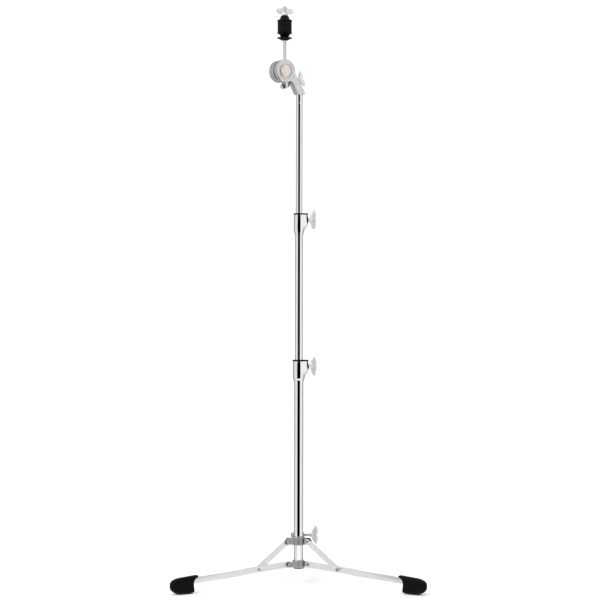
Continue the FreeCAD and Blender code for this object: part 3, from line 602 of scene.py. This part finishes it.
def boot_shape():
    """The foot in its leg's own frame: square-sided, crowned, with a round tip and two shallow grooves."""
    mouth, tip, middle = 273.0, 341.8, 311.0
    round_from = tip - 12.2
    around = 64
    straight = np.linspace(mouth, middle, 24)
    rounding = middle + (tip - middle) * np.sin(np.linspace(0.03, 1.56, 40))
    loops = []
    for x in np.concatenate((straight, rounding)):
        top = 41.7 - 0.085 * (x - mouth)
        low = 4.6 * ((max(x - 318, 0) + max(302 - x, 0)) / 24) ** 2
        share = max(0.0, (x - middle) / (tip - middle))
        fall = max(1 - share ** 2.6, 0.0004) ** (1 / 2.3)
        plan = 1.0 if x < round_from else math.sqrt(max(1 - ((x - round_from) / 12.25) ** 2, 0.0004))
        groove = sum(math.exp(-((x - at) / 0.8) ** 2) for at in (323, 331))
        half_y = (11.9 - 0.5 * groove) * plan
        centre = (top + low) / 2
        half_z = (top - low) / 2 * fall
        loop = []
        for k in range(around):
            angle = 2 * math.pi * k / around
            y = math.copysign(abs(math.cos(angle)) ** 0.5, math.cos(angle)) * half_y
            z = math.copysign(abs(math.sin(angle)) ** 0.45, math.sin(angle)) * half_z
            loop.append((x, y, centre + z))
        loops.append(loop)
    return loft(loops)


def slab(outline, half):
    """A prism across the leg from an (out, height) outline."""
    return loft([[(x, y, z) for x, z in outline] for y in (-half, half)])


def make_feet():
    """Each boot with its slanting mouth cut and the pocket that the leg's end sits in."""
    mouth_line = [(245, -10), (283.5, -10), (284.4, 8), (286.0, 18), (286.2, 25), (284.8, 30.5),
                  (281.4, 34.8), (276.5, 37.6), (272, 39.2), (245, 39.2)]
    inner = [(270, 6.5), (296, 6.5), (296, 34), (270, 34)]
    for number, turn in LEG_TURNS.items():
        node = f"foot_{number}"
        piece = new_piece(node + "_boot", *boot_shape(), RUBBER)
        cut_away(piece, slab(eased(mouth_line + mouth_line[:1], 1.5), 30))
        cut_away(piece, slab(inner, 9.0))
        piece.data.transform(leg_frame(turn))
        own(piece, f"leg_{number}", "rubber_foot", node)


def make_bars():
    for number in LEG_TURNS:
        own(bevelled(f"leg_{number}", LEG_METAL, 0.5), f"leg_{number}", "leg_steel", f"leg_{number}")
        own(bevelled(f"strut_{number}", LEG_METAL, 0.5), f"strut_{number}", "leg_steel", f"strut_{number}")


# ---------------------------------------------------------------- tilter and seat

def make_head():
    """The head's face: a flat rim, fine concentric steps and a dark groove round the cap."""
    face = [(0, 22.6), (16.05, 22.6), (16.05, 23.4), (17.7, 23.4), (17.7, 24.9), (20.2, 25.0),
            (20.4, 24.4), (23.4, 24.4), (23.6, 25.1), (26.4, 25.1), (27.5, 24.2), (27.5, 14.6),
            (27.1, 14.1), (17, 14.1), (17, -8.1), (0, -8.1)]
    disc = new_piece("tilter_head_disc", *lathe(face, 0.25, 160), TILTER_METAL, FACE)
    own(disc, "cymbal_holder", "cast_tilter", "tilter_head")
    ticks = []
    tick_from, first_turn, turn_by = 19.0, 112, 9
    for i in range(11):
        tall = 2.6 if i % 5 == 0 else 1.7
        bar = slab([(tick_from, 24.3), (tick_from + tall, 24.3), (tick_from + tall, 25.25),
                    (tick_from, 25.25)], 0.22)
        ticks.append(moved(bar, Matrix.Rotation(math.radians(first_turn + turn_by * i), 4, "Z")))
    own(new_piece("head_ticks", *merged(*ticks), TICK_METAL, FACE), "cymbal_holder", "cast_tilter")
    cap = lathe([(0, 22.6), (15.4, 22.6), (15.4, 24.4), (14.4, 25.2), (11.5, 25.3), (11.2, 24.9),
                 (0, 25.1)], 0.3, 128)
    own(new_piece("tilter_cap_disc", *cap, CAP_METAL, FACE), "cymbal_holder", "cap_metal", "tilter_cap")
    ring = lathe(ring_profile(17, 26.1, 9.6, 14.1), 0.25, 128)
    own(new_piece("friction_ring_disc", *ring, NYLON, FACE), "cymbal_holder", "black_nylon", "friction_ring")
    rear = lathe([(3, -12.3), (14, -12.3), (20.5, -11.6), (23.3, -9.6), (23.3, -8.1), (3, -8.1)], 0.8, 128)
    dome = new_piece("rear_cap_dome", *rear, TILTER_METAL, FACE)
    own(dome, "cymbal_holder", "cast_tilter", "tilter_rear_cap")
    screw = lathe([(0, -13.0), (1.6, -13.0), (1.9, -14.6), (4.6, -14.6), (5.5, -13.8), (5.5, -12.3),
                   (SHANK_R, -12.3), (SHANK_R, 22.5), (0, 22.5)], 0.3, 64)
    own(new_piece("tilter_screw_made", *screw, STEEL, FACE), "cymbal_holder", "rod_steel", "tilter_screw")


def make_tilter_bolt():
    """The bolt that closes the split ring, with its black collar and the filler of the gap."""
    axis = Vector(JOINTS["tilter_nut_turn"]["axis"])
    where = frame_at(joint_spot("tilter_nut_turn"), axis, (0, 0, 1))
    bolt = lathe([(0, -10.6), (2, -10.6), (2.3, -11.5), (4.4, -11.5), (5, -11), (5, -9), (SHANK_R, -9),
                  (SHANK_R, 51), (2.3, 51.5), (0, 51.5)], 0.25, 64)
    own(new_piece("tilter_bolt_made", *bolt, STEEL, where), "upper_column", "rod_steel", "tilter_bolt")
    collar = lathe(ring_profile(SHANK_R, 5.6, -9, -6.6), 0.3, 64)
    carried = copy_of("tilter_bolt_collar", NYLON)
    own(carried, "upper_column", "black_nylon", "tilter_bolt_collar")
    own(new_piece("tilter_bolt_collar_made", *collar, NYLON, where), "upper_column", "black_nylon")


def make_seat():
    """The rod and what it carries, with heights from the tilter's pivot."""
    rod_r, thread_from, rod_top = 4, 128, 153
    rod = [(0, 17), (rod_r, 17), (rod_r, 27.9), (3.2, 28.5), (3.2, 33.6), (rod_r, 34.2)]
    for z in range(thread_from, rod_top - 1):
        rod += [(3.95, z), (3.6, z + 0.5)]
    rod += [(3.3, rod_top), (0, rod_top)]
    rod_piece = new_piece("cymbal_rod_made", *lathe(rod, 0.15, 64, 2), STEEL, ROD)
    own(rod_piece, "cymbal_holder", "rod_steel", "cymbal_rod")
    flange = [(rod_r, 72), (6.6, 72), (9, 73), (14, 75.8), (18.1, 77.4), (18.1, 78.8), (rod_r, 79)]
    own(new_piece("seat_flange_made", *lathe(flange, 0.6, 128), CUP_BLACK, ROD), "cymbal_holder", "cup_black",
        "seat_flange")
    cup = [(rod_r, 79), (7, 79), (9.5, 81), (11.6, 84), (12.4, 87), (13.4, 88), (17.8, 88), (17.8, 90.5),
           (rod_r, 90.5)]
    own(new_piece("lower_cup_made", *lathe(cup, 0.7, 128), CUP_BLACK, ROD), "cymbal_holder", "cup_black",
        "lower_cup")
    felt_r, felt_bore, felt_round, pit = 17, 5.2, 1.2, 0.16
    for node in ("lower_felt", "upper_felt"):
        _, low, high = size_of(node)
        base = low.z - PIVOT.z / MM
        tall = high.z - low.z
        felt = lathe([(felt_bore, base), (16.4, base), (felt_r, base + felt_round), (16.9, base + tall / 2),
                      (felt_r, base + tall - felt_round), (16.4, base + tall), (felt_bore, base + tall)],
                     felt_round, 160, 6)
        piece = new_piece(node + "_pad", *felt, FELT, ROD)
        fuzz(piece, pit)
        own(piece, "cymbal_holder", "black_felt", node)
    top = [(rod_r, 117.5), (18.0, 117.5), (18.1, 119.6), (14.5, 121.2), (11.4, 123.6), (10.4, 126),
           (9.8, 128.5), (8.2, 130.5), (rod_r, 130.5)]
    own(new_piece("upper_cup_made", *lathe(top, 0.7, 128), CUP_BLACK, ROD), "cymbal_holder", "cup_black",
        "upper_cup")


def fuzz(piece, depth):
    """Small uneven pits over a felt's surface, the same on each run."""
    rough = np.random.default_rng(7)
    for vertex in piece.data.vertices:
        vertex.co -= vertex.normal * float(rough.uniform(0, depth)) * MM


# ---------------------------------------------------------------- plain CAD pieces

def finish_cad_nodes():
    materials = {"tube_end_plug": RUBBER, "collar_bolt": STEEL, "socket_plug": STEEL}
    for name, node in frame["nodes"].items():
        if node.hide_render:
            continue
        material = materials.get(name, NYLON)
        node.data.materials.clear()
        node.data.materials.append(material)


# ---------------------------------------------------------------- stage

def glow(name, strength):
    material = bpy.data.materials.new(name)
    material.use_nodes = True
    nodes = material.node_tree.nodes
    nodes.clear()
    out = nodes.new("ShaderNodeOutputMaterial")
    light = nodes.new("ShaderNodeEmission")
    light.inputs["Color"].default_value = (1, 1, 1, 1)
    light.inputs["Strength"].default_value = strength
    material.node_tree.links.new(light.outputs["Emission"], out.inputs["Surface"])
    return material


def panel(name, azimuth, spread_by, distance, low, high, strength):
    """A studio panel round the column that only reflections see. Azimuth 0 is the camera's side."""
    centre = COLUMN.translation
    verts = []
    steps = 12
    for i in range(steps + 1):
        angle = math.radians(azimuth - spread_by + 2 * spread_by * i / steps)
        x, y = centre.x + distance * math.sin(angle), centre.y - distance * math.cos(angle)
        verts += [(x / MM, y / MM, low / MM), (x / MM, y / MM, high / MM)]
    faces = [[2 * i, 2 * i + 2, 2 * i + 3, 2 * i + 1] for i in range(steps)]
    board = new_piece(name, verts, faces, glow(name + "_light", strength))
    board.visible_camera = False
    board.visible_diffuse = False
    board.visible_transmission = False
    board.visible_shadow = False


def make_stage():
    scene = bpy.context.scene
    world = bpy.data.worlds.new("studio")
    world.use_nodes = True
    world.node_tree.nodes["Background"].inputs["Color"].default_value = (1, 1, 1, 1)
    world.node_tree.nodes["Background"].inputs["Strength"].default_value = 1.1
    scene.world = world
    scene.view_settings.view_transform = "Standard"

    floor_material, _ = node_material("pale_floor", (0.97, 0.97, 0.97), 0.0, 0.7)
    reach = 12000
    corners = [(-reach, -reach, 0), (reach, -reach, 0), (reach, reach, 0), (-reach, reach, 0)]
    floor = new_piece("floor", corners, [[0, 1, 2, 3]], floor_material)
    floor.visible_glossy = False
    panel("front_flag", 0, 33, 0.85, -0.075, 3.2, 0.0)
    for name, start, end, strength in (("right_bright", 33, 58, 1.0), ("right_side", 58, 98, 0.9),
                                       ("right_back", 98, 180, 0.4), ("left_back", 180, 262, 0.4),
                                       ("left_side", 262, 327, 0.86)):
        panel(name, (start + end) / 2, (end - start) / 2, 2.4, -2.5, 5.0, strength)
    key = bpy.data.lights.new("key", "AREA")
    key.energy = 60
    key.size = 2.0
    lamp = bpy.data.objects.new("key", key)
    lamp.location = (-1.6, -2.6, 2.6)
    lamp.rotation_euler = (Vector((0, 0, 0.6)) - lamp.location).to_track_quat("-Z", "Y").to_euler()
    scene.collection.objects.link(lamp)


def make_camera():
    distance, height, view_width, aside, roll = 4.5, 0.682, 1.44, 0.0026, -0.1
    camera = bpy.data.cameras.new("camera")
    camera.sensor_fit = "HORIZONTAL"
    camera.angle = 2 * math.atan(view_width / 2 / distance)
    camera.clip_end = 50
    eye = bpy.data.objects.new("camera", camera)
    centre = COLUMN.translation
    eye.location = (centre.x + aside, centre.y - distance, height)
    eye.rotation_euler = (math.radians(90), math.radians(roll), 0)
    bpy.context.scene.collection.objects.link(eye)
    bpy.context.scene.camera = eye


make_camera()
make_tube("lower_tube", "base")
make_tube("middle_tube", "middle_column")
make_tube("upper_tube", "upper_column")
make_pipe_joint("lower", "base", LOWER_R, MIDDLE_R)
make_pipe_joint("upper", "middle_column", MIDDLE_R, UPPER_R)
make_wings()
make_rivets()
make_spacers()
make_castings()
make_feet()
make_bars()
make_head()
make_tilter_bolt()
make_seat()
finish_cad_nodes()
make_stage()
